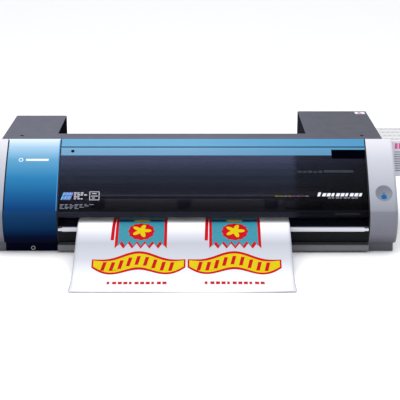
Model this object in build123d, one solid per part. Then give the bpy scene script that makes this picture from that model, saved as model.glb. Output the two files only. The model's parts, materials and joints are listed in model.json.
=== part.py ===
"""A desktop print-and-cut vinyl cutter for 20-inch media: every piece as its own closed solid.

Units are millimetres. +X points to the operator's right, +Y to the back and +Z up, and the desk is
Z = 0. Pieces are drawn about the middle of the machine's body, then moved together so that the origin
lies under the middle of everything, with the cartridges and the sheet. Each piece is one STEP file.
"""
import math
import os

from build123d import *

# ---------------------------------------------------------------- driving dimensions
TOP_Z = 255.0                # flat top of the covers
WALL = 3.0                   # moulded covers
FRONT_JOINT_Y = -95.0        # the front covers end here and the top cover begins
STRIP_BACK_Y = -35.0         # back edge of the long top cover
BOX_L_BACK = 183.0
BOX_R_BACK = 240.0
COVER_FLOOR_Z = 8.0          # lower edge of the rear covers

# from the drawing's origin to the shared one
SHIFT = (-29.5, 138.75, 0.0)

# side profile of the front, as (y, z) points
TOP_EDGE = (FRONT_JOINT_Y, TOP_Z)
UPPER_MID = (-175.5, 188.0)
CREASE = (-243.0, 108.0)
LOWER_MID = (-248.0, 70.0)
SHELL_FOOT = (-228.0, 24.0)
PLINTH_Y = -220.0
PLINTH_Z = 1.0
PLINTH_INSET = 7.0

# stations along X
CAP_X = (-497.0, -467.5)     # silver left end cap
PARTITION_X = (-467.5, -465.5)
PANEL_X = (-465.5, -336.0)   # blue front panel of the left tower
PLATE_L = (-336.0, -333.0)   # left steel side plate
PLATE_R = (425.0, 428.0)     # right steel side plate
PILLAR_X = (428.0, 496.5)    # right pillar, which holds the power button
COVER_X = (-332.4, 424.4)    # front cover
BOX_L = (-484.5, -349.5)     # left rear box
BOX_R = (283.5, 471.5)       # right rear box

# front cover, as shares of the upper arc from the top edge to the crease
HINGE_SHARE = 0.135
HINGE_DEPTH = 3.0
BEAD_R = 3.0
PIN_R = 1.5
FIXED_BAND_END = 0.1185
BAND_END_SHARE = 0.252
NOTCH_SHARES = (0.168, 0.300)
NOTCH_X = 340.5
STIFFENER_END = 0.340
COVER_LIP_Z = 95.0
LIP_BACK_Y = -225.0
STIFFENER_T = 2.0
PIN_DEPTH = 12.0             # how deep the hinge pins reach into the cover
BAND_SCREW = (-303.5, 0.190)  # x, and share of the arc

# power button
DISH_X = 463.5
DISH_SHARE = 0.766
DISH_R = 21.0
DISH_DEPTH = 5.0
BUTTON_DROP = 9.0            # the button sits this far below the middle of the dish
BUTTON_R = 6.5
BUTTON_LEN = 13.0
BUTTON_MID = -8.0            # its middle, from the pillar's surface
DISH_RIM = 1.2
DISH_T = 10.0

# outer covers
SKIN_BACK_Y = FRONT_JOINT_Y + 60.0   # the profile runs on to here before it is cut
SHELL_ROUND = 8.0            # rounding of the towers' outer sides
BOX_ROUND = 5.0              # rounding of the rear boxes' corners
MOUTH_Z = 115.0              # lower edge of the wall above the media mouth
PARTITION_INSET = 1.2
PARTITION_Z = (30.0, 200.0)
VENT_ROWS = 6
VENT_Z = 70.0
VENT_PITCH = 12.0
VENT_HEIGHT = 4.0
VENT_INSET = 28.0
PLATE_INSET = 0.8
PLATE_NOTCH = ((-116.0, 150.0), (-116.0, 300.0), (0.0, 300.0), (0.0, 150.0))
PLATE_BACK = ((-214.0, 60.0), (-130.0, 150.0), (40.0, 150.0), (60.0, 130.0))

# screws
PLINTH_SCREW = (-398.0, 9.0)
TOP_SCREWS = ((-438.5, -58.0), (424.5, -58.0))
SCREW_R = 3.4
SCREW_GAP = 0.2
SOCKET_R = 1.6
BAND_SCREW_R = 4.0

# lower front
APRON_POINTS = ((-205.0, 82.0), (-239.0, 70.0), (-239.0, 66.0), (-205.0, 78.0))
BAR_Y = (-247.0, -239.0)
BAR_Z = (58.0, 68.0)
BAR_END = 10.0
BAR_ROUND = 2.5
BAR_STEP = (0.8, 2.0)        # the end blocks stand back this far along Y and Z
FASCIA_Z = (24.0, 57.5)
FASCIA_T = 2.5
FASCIA_INSET = 0.8
STRIP_Y = (-236.0, -217.0)
STRIP_Z = (5.0, 20.0)
STRIP_ROUND = 3.0

# base
PAN_Z = (5.0, 23.5)
PAN_T = 2.5
PAN_X = (-481.5, 468.5)
PAN_Y = (-217.0, 180.0)
FOOT_R = 14.0
FOOT_X = 430.0
FOOT_Y = (-175.0, 130.0)
FLOOR_Z = PAN_Z[0] + PAN_T   # inner floor of the pan

# media path
SHEET_X = (-283.5, 231.5)
SHEET_T = 0.5
SHEET_Z = 82.65              # middle of the sheet on the platen
SHEET_Y = (-519.0, -45.0)
SHEET_BEND_Y = -228.0
SHEET_BENDS = (110.0, 150.0)
SHEET_SLOPE = 25.0
SHEET_REST_Z = 0.4
PLATEN_X = (-333.0, 312.0)
PLATEN_Y = (-205.0, -57.0)
PLATEN_Z = (79.0, 82.0)
PLATEN_FOLD = 3.0
ROLLER_SLOT = (-306.0, 306.0)
SLOT_HALF = 9.0
CUT_STRIP_X = (PLATEN_X[0] + 20.0, PLATEN_X[1] - 5.0)
CUT_STRIP_Y = (-192.0, -184.0)
CUT_STRIP_Z = 80.8
GRIT_AXIS = (-128.0, 72.1)
GRIT_R = 10.0
ROLLER_X = (-300.0, 300.0)
ROLLER_LEFT_END = -338.0
JOURNAL_R = 5.0
BUSH_R = 9.0
BUSH_FLANGE = 2.0
PINCH_AXIS = (-128.0, 91.2)
PINCH_R = 8.0
PINCH_HALF = 15.0
PINCH_XS = (-245.0, -26.0, 193.0)
PINCH_PIVOT = (-92.0, 106.0)
PINCH_PIN_R = 2.0
PINCH_SHAFT_R = 4.0
ARM_SIDE = 3.0               # thickness of a pinch arm's fork
ARM_ENDS = (8.0, 5.0)        # its radii at the shaft and at the roller
FORK_ROOM = (20.0, 9.5)      # room in the fork before and behind the roller's axis
FORK_Z = (70.0, 125.0)
LEVER_X = (-347.5, -341.5)
LEVER_END = (-8.0, 110.0)
LEVER_RADII = (9.0, 5.0)
GRIP_R = 7.0

# carriage drive
BEAM_Y = (-140.0, -124.0)
BEAM_Z = (120.0, 180.0)
BEAM_T = 3.0
SHAFT_HOLE_R = 4.0
IDLER_PIN_R = 3.0
RAIL_GROOVE = (3.0, 1.5)     # inset along Y, and depth along Z
RAIL_Y = (-150.0, -140.0)
RAIL_Z = (130.0, 142.0)
CARRIAGE_X = (320.0, 412.0)
CARRIAGE_Y = (-201.0, -141.0)
CARRIAGE_Z = (92.0, 150.0)
CARRIAGE_CHAMFER = 10.0
BELT_CLAMP = (12.0, 10.4)    # half width, and how far its top is below the belt's axis
PRINT_HEAD = ((348.0, 408.0), (-198.0, -158.0), (85.5, CARRIAGE_Z[0]))
TOOL_XY = (333.0, -188.0)
TOOL_R = 5.5
TOOL_CAP_R = 7.5
TOOL_STEM_Z = (90.0, 154.0)
TOOL_CAP_Z = (153.5, 159.0)
TIP_R = (0.6, 4.5)
TIP_Z = 88.2
TIP_H = 3.6
BELT_Y = (-151.0, -145.0)
BELT_AXIS_Z = 165.0
PULLEY_R = 8.0
BELT_T = 1.5
DRIVE_X = -311.0
IDLER_X = 405.0
MOTOR_HALF = 21.0
MOTOR_LEN = 38.0
MOTOR_CHAMFER = 3.0
MOTOR_SHAFT_R = 2.5
FLANGE_H = 2.5               # how far a pulley's flanges stand past its rim
FLANGE_T = (0.7, 0.8)        # flange thickness on the feed and the carriage pulleys
PULLEY_SIDE = 1.2            # how far the pulleys stand past the belt on each side

# feed drive
FEED_X = (434.0, 442.0)
FEED_R = 20.0
FEED_MOTOR_AXIS = (-90.0, 52.0)
FEED_MOTOR_X = (383.0, 425.0)
FEED_PINION_R = 8.0
FEED_SHAFT_LEN = 15.0        # length of the motor's shaft inside the motor

# roll bay
ROLL_AXES = ((75.0, 60.0), (190.0, 60.0))
ROLL_R = 11.0
BRACKET_L = (-346.0, -343.0)
BRACKET_R = (277.0, 280.0)
BRACKET_FACE = ((45.0, FLOOR_Z), (174.0, FLOOR_Z), (174.0, 27.0), (184.0, 27.0), (215.0, 45.0),
                (215.0, 75.5), (45.0, 75.5))

# ink
CARTRIDGES = 4
CARTRIDGE_PITCH = 37.0
CARTRIDGE_Y0 = -76.0         # middle of the first cartridge
CARTRIDGE_X = (330.0, 474.0)
CARTRIDGE_HALF = 16.0
CARTRIDGE_Z = (160.0, 236.0)
HEAD_X = (474.0, 556.0)
HEAD_HALF = 17.0
HEAD_Z = (157.0, 250.5)
BAY_FLOOR_Z = (154.0, 159.6)
BAY_X = (318.0, 466.0)
BAY_Y = (-98.5, 55.0)
WINDOW_Z = 154.5
BAY_WALL = 3.0
BAY_BACK_Z = 225.0
DIVIDER_Z = 200.0
DIVIDER_HALF = 1.5
BAY_FRONT_T = 2.5
HEAD_ROUND = 3.0

# maintenance station
STATION = ((345.0, 415.0), (-202.0, -150.0), (FLOOR_Z, 78.0))
CAP_OUTER = ((352.0, 390.0), (-196.0, -160.0), (77.0, 84.5))
CAP_INNER = ((355.0, 387.0), (-193.0, -163.0), (80.0, 90.0))
WIPER = ((399.0, 402.0), (-195.0, -161.0), (77.0, 84.8))

# inlets in the back of the right box
INLET_X = 440.0
SWITCH_X = 410.0
INLET_Z = 70.0
INLET_HALF_Z = 10.0
INLET_MODULE_X = (402.0, 454.0)
INLET_FRAME_Y = (-22.0, 1.5)  # the module's reach along Y from the box's back
INLET_POCKET = (12.0, 17.0, 8.0)   # half width, depth and half height
SWITCH_POCKET = (5.0, 12.0, 8.0)
BLADES = ((-7.0, -2.0), (7.0, -2.0), (0.0, 3.0))
BLADE_HALF = (1.0, 2.0)
BLADE_Y = (-18.0, -2.0)
ROCKER_BACK = 3.0            # the rocker's axis lies this far inside the box's back
ROCKER_HALF = (4.6, 6.6)
ROCKER_Y = (-5.0, 0.2, 1.2)  # its keel, its waist and its tips, from the axis
TRUNNION_R = 1.0
TRUNNION_X = 6.2
USB_X = -415.0               # data socket, in the back of the left box
USB_Z = (25.2, 36.4)
USB_HALF = 6.0
USB_WALL = 1.8
ROCKER_TILT = 10.0

# board and power supply
BOARD = ((-465.0, -365.0), (-5.0, 175.0), (24.0, 25.6))
STANDOFF_INSET = 6.0
STANDOFF_R = 3.0
CHIPS = ((-430.0, 40.0, 26.0, 4.0), (-395.0, 90.0, 18.0, 3.0), (-440.0, 120.0, 14.0, 12.0))
SUPPLY = ((300.0, 400.0), (90.0, 218.0), (FLOOR_Z, 60.0))

RUN_GAP = 0.05               # radial running clearance of shafts in bushes
FREE_GAP = 0.3               # clearance of moving faces that don't bear on each other
EDGE = 1.0                   # small rounding of moulded edges
OVER = 5.0                   # how far a cutting shape runs past what it cuts
FAR = 40.0                   # reach of the wedges that cut the front profile
LAP = 0.5                    # overlap that joins two shapes of one piece


# ---------------------------------------------------------------- helpers
def span(x, y, z):
    """A block from its low and high limits along X, Y and Z."""
    size = [high - low for low, high in (x, y, z)]
    centre = [(high + low) / 2 for low, high in (x, y, z)]
    return Pos(*centre) * Box(*size)


def rod_x(x, yz, r):
    """A round bar along X."""
    return Pos((x[0] + x[1]) / 2, *yz) * Rot(0, 90, 0) * Cylinder(r, x[1] - x[0])


def rod_y(y, xz, r):
    """A round bar along Y."""
    return Pos(xz[0], (y[0] + y[1]) / 2, xz[1]) * Rot(90, 0, 0) * Cylinder(r, y[1] - y[0])


def rod_z(z, xy, r):
    """A round bar along Z."""
    return Pos(xy[0], xy[1], (z[0] + z[1]) / 2) * Cylinder(r, z[1] - z[0])


def slab(face, x):
    """Extrudes a (y, z) face along X from x[0] to x[1]."""
    return extrude(Plane.YZ.offset(x[0]) * face, x[1] - x[0])


def slab_y(face, y):
    """Extrudes an (x, z) face along Y from y[0] to y[1]."""
    plane = Plane(origin=(0, y[0], 0), x_dir=(1, 0, 0), z_dir=(0, -1, 0))
    return extrude(plane * face, -(y[1] - y[0]))


def outline(*points):
    """A closed polygon."""
    return make_face(Polyline(*points, close=True))


def loop_face(a, r_a, b, r_b):
    """The face inside a belt that runs round two pulleys."""
    circles = [*(Pos(*a) * Circle(r_a)).edges(), *(Pos(*b) * Circle(r_b)).edges()]
    return make_hull(circles)


def group(solids):
    """Several separate solids as one piece."""
    return Compound(children=list(solids))


def circle_through(a, b, c):
    """Centre and radius of the circle through three (y, z) points."""
    d = 2 * (a[0] * (b[1] - c[1]) + b[0] * (c[1] - a[1]) + c[0] * (a[1] - b[1]))
    sa, sb, sc = (p[0] ** 2 + p[1] ** 2 for p in (a, b, c))
    y = (sa * (b[1] - c[1]) + sb * (c[1] - a[1]) + sc * (a[1] - b[1])) / d
    z = (sa * (c[0] - b[0]) + sb * (a[0] - c[0]) + sc * (b[0] - a[0])) / d
    return (y, z), math.dist((y, z), a)


ARC_CENTRE, ARC_R = circle_through(TOP_EDGE, UPPER_MID, CREASE)
ARC_START = math.atan2(TOP_EDGE[1] - ARC_CENTRE[1], TOP_EDGE[0] - ARC_CENTRE[0])
ARC_END = math.atan2(CREASE[1] - ARC_CENTRE[1], CREASE[0] - ARC_CENTRE[0])


def on_arc(share, depth=0.0):
    """The (y, z) point at a share of the upper arc, depth millimetres under the surface."""
    angle = ARC_START + (ARC_END - ARC_START) * share
    r = ARC_R - depth
    return ARC_CENTRE[0] + r * math.cos(angle), ARC_CENTRE[1] + r * math.sin(angle)


def arc_plane(x, share):
    """The plane that touches the upper arc at x and share, with its Z pointing outwards."""
    y, z = on_arc(share)
    outward = (0, y - ARC_CENTRE[0], z - ARC_CENTRE[1])
    return Plane(origin=(x, y, z), x_dir=(1, 0, 0), z_dir=outward)


def sector(share_a, share_b):
    """A (y, z) wedge that crosses the upper arc between two shares of it."""
    return outline(on_arc(share_a, FAR), on_arc(share_a, -FAR), on_arc(share_b, -FAR),
                   on_arc(share_b, FAR))


def front_section(inset=0.0, back_y=FRONT_JOINT_Y):
    """The (y, z) face behind the front profile, shrunk by inset along the profile."""
    edges = [ThreePointArc(SHELL_FOOT, LOWER_MID, CREASE),
             ThreePointArc(CREASE, UPPER_MID, TOP_EDGE)]
    if back_y > TOP_EDGE[0]:
        edges.append(Line(TOP_EDGE, (back_y, TOP_Z)))
    edges.append(Line((back_y, TOP_Z), (back_y, SHELL_FOOT[1])))
    edges.append(Line((back_y, SHELL_FOOT[1]), SHELL_FOOT))
    face = make_face(edges)
    return offset(face, amount=-inset, kind=Kind.INTERSECTION) if inset else face


def skin(depth_a, depth_b):
    """The (y, z) band of the front profile between two depths under its surface."""
    return front_section(depth_a, SKIN_BACK_Y) - front_section(depth_b, SKIN_BACK_Y)


# ---------------------------------------------------------------- outer covers
def tower_shell(x, outer_side=0):
    """A moulded front cover, open to the back, the bottom and inwards; outer_side is -1, 0 or 1."""
    outer = slab(front_section(), x)
    void_x = [x[0] - 1, x[1] + 1]
    plinth_x = [x[0], x[1]]
    room_x = [x[0] - 1, x[1] + 1]
    if outer_side:
        end = 0 if outer_side < 0 else 1
        void_x[end] = x[end] - outer_side * WALL
        plinth_x[end] = x[end] - outer_side * PLINTH_INSET
        room_x[end] = plinth_x[end] - outer_side * WALL
        side = outer.faces().sort_by(Axis.X)[0 if outer_side < 0 else -1]
        rim = [e for e in side.edges()
               if e.center().Y < FRONT_JOINT_Y - 1 and e.center().Z > SHELL_FOOT[1] + 1]
        outer = fillet(rim, SHELL_ROUND)
    plinth = span(plinth_x, (PLINTH_Y, FRONT_JOINT_Y), (PLINTH_Z, SHELL_FOOT[1] + WALL))
    void = slab(front_section(WALL, SKIN_BACK_Y), void_x)
    room = span(room_x, (PLINTH_Y + WALL, FRONT_JOINT_Y + 1), (0, SHELL_FOOT[1] + 2 * WALL))
    shell = outer + plinth - void - room
    if outer_side:
        # a strip of back wall where the shell stands wider than the covers behind it
        wall_x = sorted((x[end], BOX_L[0] if outer_side < 0 else BOX_R[1]))
        back = span(wall_x, (FRONT_JOINT_Y - WALL, FRONT_JOINT_Y), (SHELL_FOOT[1], TOP_Z))
        shell += back & (outer + plinth)
    return shell


def left_end_cap():
    """Silver end cover on the left."""
    return tower_shell(CAP_X, -1)


def left_front_panel():
    """Blue front panel of the left tower, with a hole for its fixing screw."""
    hole = rod_y((PLINTH_Y - OVER, PLINTH_Y + WALL + OVER), PLINTH_SCREW, SCREW_R + SCREW_GAP)
    return tower_shell(PANEL_X) - hole


def cover_screws():
    """Three equal screws: two in the top cover and one in the left plinth."""
    screws = []
    for xy in TOP_SCREWS:
        head = rod_z((TOP_Z - WALL - 2, TOP_Z - 0.8), xy, SCREW_R)
        screws.append(head - rod_z((TOP_Z - 2.6, TOP_Z), xy, SOCKET_R))
    head = rod_y((PLINTH_Y - 1, PLINTH_Y + WALL), PLINTH_SCREW, SCREW_R)
    screws.append(head - rod_y((PLINTH_Y - 2, PLINTH_Y + 1), PLINTH_SCREW, SOCKET_R))
    return group(screws)


def left_partition():
    """Thin black plate between the end cap and the blue panel."""
    rear = span(PARTITION_X, (FRONT_JOINT_Y - OVER, STRIP_BACK_Y - WALL), PARTITION_Z)
    return slab(front_section(PARTITION_INSET), PARTITION_X) + rear


def right_pillar():
    """Silver pillar on the right, open for the button dish."""
    return tower_shell(PILLAR_X, 1) - arc_plane(DISH_X, DISH_SHARE) * Cylinder(DISH_R, FAR)


def button_dish():
    """The shallow dish round the power button, with the bore that guides the button."""
    plane = arc_plane(DISH_X, DISH_SHARE)
    chord_r = DISH_R - DISH_RIM
    bowl_r = (chord_r ** 2 + DISH_DEPTH ** 2) / (2 * DISH_DEPTH)
    body = plane * Pos(0, 0, -DISH_T / 2) * Cylinder(DISH_R, DISH_T)
    bowl = plane * Pos(0, 0, bowl_r - DISH_DEPTH) * Sphere(bowl_r)
    bore = plane * Pos(0, -BUTTON_DROP, 0) * Cylinder(BUTTON_R + FREE_GAP, FAR)
    return body - bowl - bore


def power_button():
    """Round push button that slides in the dish."""
    plane = arc_plane(DISH_X, DISH_SHARE)
    body = plane * Pos(0, -BUTTON_DROP, BUTTON_MID) * Cylinder(BUTTON_R, BUTTON_LEN)
    rim = body.faces().sort_by(Axis.Y)[0].edges()
    return fillet(rim, EDGE)


def rear_box(x, back_y):
    """A rear cover: top, two sides and back, open to the front and the bottom."""
    outer = span(x, (STRIP_BACK_Y, back_y), (COVER_FLOOR_Z, TOP_Z))
    outer = fillet(outer.edges().filter_by(Axis.Z).group_by(Axis.Y)[-1], BOX_ROUND)
    room = span((x[0] + WALL, x[1] - WALL), (STRIP_BACK_Y - OVER, back_y - WALL),
                (0, TOP_Z - WALL))
    inner = (x[1] - WALL - 1, x[1] + 1) if x[0] < 0 else (x[0] - 1, x[0] + WALL + 1)
    return outer - room - span(inner, (STRIP_BACK_Y - 1, PAN_Y[1]), (0, PAN_Z[1]))


def left_rear_box():
    """Left rear cover, with vents in its back."""
    box = rear_box(BOX_L, BOX_L_BACK)
    through = (BOX_L_BACK - WALL - OVER, BOX_L_BACK + OVER)
    for row in range(VENT_ROWS):
        z = VENT_Z + VENT_PITCH * row
        box -= span((BOX_L[0] + VENT_INSET, BOX_L[1] - VENT_INSET), through, (z, z + VENT_HEIGHT))
    return box - span((USB_X - USB_HALF, USB_X + USB_HALF), through, USB_Z)


def right_rear_box():
    """Right rear cover, with the window for the cartridges and the inlets' openings."""
    box = rear_box(BOX_R, BOX_R_BACK)
    through = (BOX_R_BACK - WALL - OVER, BOX_R_BACK + OVER)
    side = (BOX_R[1] - WALL, BOX_R[1])
    box += span(side, (FRONT_JOINT_Y, STRIP_BACK_Y), (COVER_FLOOR_Z, WINDOW_Z))
    box -= span((side[0] - 1, side[1] + 1), (STRIP_BACK_Y - OVER, BAY_Y[1]),
                (WINDOW_Z, TOP_Z - WALL))
    return box - span(INLET_MODULE_X, through, (INLET_Z - INLET_HALF_Z, INLET_Z + INLET_HALF_Z))


def top_cover():
    """The long grey cover: a strip with end walls, and a rear wall above the media mouth."""
    x = (BOX_L[0], BOX_R[1])
    y = (FRONT_JOINT_Y, STRIP_BACK_Y)
    outer = span(x, y, (COVER_FLOOR_Z, TOP_Z))
    cover = outer - span((x[0] + WALL, x[1] + OVER), (y[0] - OVER, y[1] + OVER), (0, TOP_Z - WALL))
    cover += span((PLATE_L[1], BOX_R[0]), (y[1] - WALL, y[1]), (MOUTH_Z, TOP_Z - WALL))
    for xy in TOP_SCREWS:
        cover -= rod_z((TOP_Z - WALL - OVER, TOP_Z + OVER), xy, SCREW_R + SCREW_GAP)
    return cover


def upper_band():
    """The fixed blue band between the top cover and the front cover."""
    return slab(skin(0, WALL) & sector(-0.0005, FIXED_BAND_END) & front_section(),
                (PLATE_L[1], PLATE_R[0]))


def side_plate(x, side):
    """A steel side plate: front profile above, lower at the back, with its bearing holes."""
    front = front_section(PLATE_INSET) - outline(*PLATE_NOTCH)
    back = outline((PLATE_BACK[0][0], FLOOR_Z), *PLATE_BACK, (PLATE_BACK[-1][0], FLOOR_Z))
    plate = slab(front + back, x)
    deep = (x[0] - OVER, x[1] + OVER)
    plate -= rod_x(deep, on_arc(HINGE_SHARE, HINGE_DEPTH), PIN_R)
    plate -= rod_x(deep, GRIT_AXIS, BUSH_R)
    plate -= rod_x(deep, PINCH_PIVOT if side < 0 else FEED_MOTOR_AXIS,
                   PINCH_SHAFT_R + RUN_GAP)
    return plate


def base_pan():
    """The steel base pan that everything stands on."""
    rear = (PAN_Y[1], BOX_R_BACK - WALL)
    rear_x = (BOX_R[0] + WALL, PAN_X[1])
    pan = span(PAN_X, PAN_Y, PAN_Z) + span(rear_x, rear, PAN_Z)
    inside_z = (FLOOR_Z, PAN_Z[1] + OVER)
    pan -= span([PAN_X[0] + PAN_T, PAN_X[1] - PAN_T], [PAN_Y[0] + PAN_T, PAN_Y[1] - PAN_T],
                inside_z)
    pan -= span([rear_x[0] + PAN_T, rear_x[1] - PAN_T], [PAN_Y[1] - OVER, rear[1] - PAN_T],
                inside_z)
    return pan


def feet():
    """Four rubber feet."""
    spots = [(x, y) for x in (-FOOT_X, FOOT_X) for y in FOOT_Y]
    return group([rod_z((0, PAN_Z[0]), xy, FOOT_R) for xy in spots])


# ---------------------------------------------------------------- front cover
def band_zone():
    """The (y, z) zone of the cover band."""
    return sector(HINGE_SHARE, BAND_END_SHARE)


def bead():
    """The round hinge bead along the cover's top edge."""
    return rod_x(COVER_X, on_arc(HINGE_SHARE, HINGE_DEPTH), BEAD_R)


def cover_window():
    """Smoked curved window that bends at the crease and ends in a lip."""
    front_y = CREASE[0] - FAR
    zone = outline(on_arc(BAND_END_SHARE, FAR), on_arc(BAND_END_SHARE, -FAR),
                   (front_y, CREASE[1] + FAR), (front_y, COVER_LIP_Z), (LIP_BACK_Y, COVER_LIP_Z))
    window = slab(skin(0, WALL) & zone, COVER_X)
    return window - slab(sector(NOTCH_SHARES[0], NOTCH_SHARES[1]), (NOTCH_X, COVER_X[1] + 1))


def cover_band():
    """Blue band along the top of the front cover, cut away at the right for the sensor window."""
    band = slab(skin(0, WALL) & band_zone(), COVER_X) - bead()
    band -= slab(sector(NOTCH_SHARES[0], NOTCH_SHARES[1]), (NOTCH_X, COVER_X[1] + 1))
    return band - arc_plane(*BAND_SCREW) * Cylinder(BAND_SCREW_R + SCREW_GAP, FAR)


def cover_screw():
    """Dark button-head screw that holds the band at its left end."""
    plane = arc_plane(*BAND_SCREW)
    head = plane * Pos(0, 0, -1.2) * Cylinder(BAND_SCREW_R, WALL + 0.6)
    return head - plane * Pos(0, 0, 0.6) * Cylinder(SOCKET_R, 2.4)


def sensor_window():
    """Black gloss plate at the right end of the cover, flush with the band."""
    return slab(skin(0.5, WALL) & sector(*NOTCH_SHARES), (NOTCH_X, COVER_X[1]))


def cover_stiffener():
    """Black rail inside the cover, with the hinge bead and its pin holes."""
    inner = slab(skin(WALL, WALL + STIFFENER_T) & sector(HINGE_SHARE, STIFFENER_END), COVER_X)
    rail = inner + bead()
    axis = on_arc(HINGE_SHARE, HINGE_DEPTH)
    for x in ((COVER_X[0] - OVER, COVER_X[0] + PIN_DEPTH + 1),
              (COVER_X[1] - PIN_DEPTH - 1, COVER_X[1] + OVER)):
        rail -= rod_x(x, axis, PIN_R + RUN_GAP)
    return rail


def cover_hinge_pins():
    """Two steel pins pressed into the side plates."""
    axis = on_arc(HINGE_SHARE, HINGE_DEPTH)
    return group([rod_x((PLATE_L[0], COVER_X[0] + PIN_DEPTH), axis, PIN_R),
                  rod_x((COVER_X[1] - PIN_DEPTH, PLATE_R[1]), axis, PIN_R)])


# ---------------------------------------------------------------- lower front
def front_apron():
    """Glossy dark ramp that leads the sheet from the platen to the front."""
    return slab(outline(*APRON_POINTS), (PLATE_L[1], PLATE_R[0]))


def apron_bar():
    """Silver bar along the front edge, with a slimmer block at each end."""
    x = (PLATE_L[1] + BAR_END, PLATE_R[0] - BAR_END)
    bar = span(x, BAR_Y, BAR_Z)
    bar = fillet(bar.edges().filter_by(Axis.X).group_by(Axis.Y)[0], BAR_ROUND)
    return bar + span((PLATE_L[1], PLATE_R[0]), (BAR_Y[0] + BAR_STEP[0], BAR_Y[1]),
                      (BAR_Z[0] + BAR_STEP[1], BAR_Z[1] - BAR_STEP[1]))


def lower_fascia():
    """Dark curved front below the bar, with a shelf behind the bar."""
    back, front, top = SHELL_FOOT[0] + 2 * WALL, SHELL_FOOT[0] - FAR, FASCIA_Z[1]
    zone = outline((front, FASCIA_Z[0]), (back, FASCIA_Z[0]), (back, top), (front, top))
    curved = skin(FASCIA_INSET, FASCIA_INSET + WALL) & zone
    shelf_y = (CREASE[0], PLATEN_Y[0])
    shelf = outline((shelf_y[0], top - FASCIA_T), (shelf_y[1], top - FASCIA_T),
                    (shelf_y[1], top), (shelf_y[0], top))
    spine_top = APRON_POINTS[2][1]
    spine = outline((BAR_Y[1], top), (BAR_Y[1] + FASCIA_T, top),
                    (BAR_Y[1] + FASCIA_T, spine_top), (BAR_Y[1], spine_top))
    return slab(curved + shelf + spine, (PLATE_L[1], PLATE_R[0]))


def bottom_strip():
    """Grey strip along the bottom of the front."""
    strip = span((PLATE_L[0], PLATE_R[1]), STRIP_Y, STRIP_Z)
    return fillet(strip.edges().filter_by(Axis.X).group_by(Axis.Y)[0], STRIP_ROUND)


# ---------------------------------------------------------------- media path
def platen():
    """Folded steel platen with a slot for the grit roller and a groove for the cutting strip."""
    fold_z = (FLOOR_Z, PLATEN_Z[1])
    bed = span(PLATEN_X, PLATEN_Y, PLATEN_Z)
    front = span(PLATEN_X, (PLATEN_Y[0], PLATEN_Y[0] + PLATEN_FOLD), fold_z)
    back = span(PLATEN_X, (PLATEN_Y[1] - PLATEN_FOLD, PLATEN_Y[1]), fold_z)
    slot = span(ROLLER_SLOT, (GRIT_AXIS[0] - SLOT_HALF, GRIT_AXIS[0] + SLOT_HALF),
                (PLATEN_Z[0] - OVER, PLATEN_Z[1] + OVER))
    groove = span(CUT_STRIP_X, CUT_STRIP_Y, (CUT_STRIP_Z, PLATEN_Z[1] + OVER))
    return bed + front + back - slot - groove


def cutting_strip():
    """Pale cutting strip under the blade's path."""
    return span(CUT_STRIP_X, CUT_STRIP_Y, (CUT_STRIP_Z, PLATEN_Z[1]))


def media_sheet():
    """The printed sheet, from behind the pinch rollers over the apron and down to the desk."""
    slope = math.radians(SHEET_SLOPE)
    r1, r2 = SHEET_BENDS
    drop = SHEET_Z - SHEET_REST_Z
    run = (drop - (r1 + r2) * (1 - math.cos(slope))) / math.sin(slope)
    c1 = (SHEET_BEND_Y, SHEET_Z - r1)
    p2 = (c1[0] - r1 * math.sin(slope), c1[1] + r1 * math.cos(slope))
    p3 = (p2[0] - run * math.cos(slope), p2[1] - run * math.sin(slope))
    c2 = (p3[0] - r2 * math.sin(slope), p3[1] + r2 * math.cos(slope))

    def side(up):
        """One face of the sheet as edges from back to front; up is +1 or -1."""
        half = up * SHEET_T / 2
        points = [(SHEET_Y[1], SHEET_Z + half), (SHEET_BEND_Y, SHEET_Z + half)]
        arcs = []
        for centre, r, a, b in ((c1, r1 + half, 90, 90 + SHEET_SLOPE),
                                (c2, r2 - half, 270 + SHEET_SLOPE, 270)):
            arcs.append([(centre[0] + r * math.cos(math.radians(t)),
                          centre[1] + r * math.sin(math.radians(t))) for t in (a, (a + b) / 2, b)])
        end = (SHEET_Y[0], SHEET_REST_Z + half)
        return [Line(points[0], arcs[0][0]), ThreePointArc(*arcs[0]),
                Line(arcs[0][2], arcs[1][0]), ThreePointArc(*arcs[1]), Line(arcs[1][2], end)]

    top, under = side(1), side(-1)
    back = Line(top[0] @ 0, under[0] @ 0)
    front = Line(top[-1] @ 1, under[-1] @ 1)
    return slab(make_face([*top, *under, back, front]), SHEET_X)


def grit_roller():
    """Feed roller with its journals."""
    journals = rod_x((ROLLER_LEFT_END, FEED_X[1] + 4), GRIT_AXIS, JOURNAL_R)
    return rod_x(ROLLER_X, GRIT_AXIS, GRIT_R) + journals


def roller_bushes():
    """Two bushes that carry the feed roller in the side plates."""
    bushes = []
    for x in ((PLATE_L[0] - BUSH_FLANGE, PLATE_L[1]), (PLATE_R[0], PLATE_R[1] + BUSH_FLANGE)):
        bushes.append(rod_x(x, GRIT_AXIS, BUSH_R) - rod_x(x, GRIT_AXIS, JOURNAL_R + RUN_GAP))
    return group(bushes)


def flanged_pulley_x(x, yz, r, bore):
    """A belt pulley on an X axis, with a flange on each side."""
    wheel = rod_x(x, yz, r) + rod_x((x[0], x[0] + FLANGE_T[0]), yz, r + FLANGE_H)
    wheel += rod_x((x[1] - FLANGE_T[0], x[1]), yz, r + FLANGE_H)
    return wheel - rod_x((x[0] - 1, x[1] + 1), yz, bore)


def feed_pulley():
    """The pulley on the feed roller's right end."""
    return flanged_pulley_x(FEED_X, GRIT_AXIS, FEED_R, JOURNAL_R)


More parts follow.
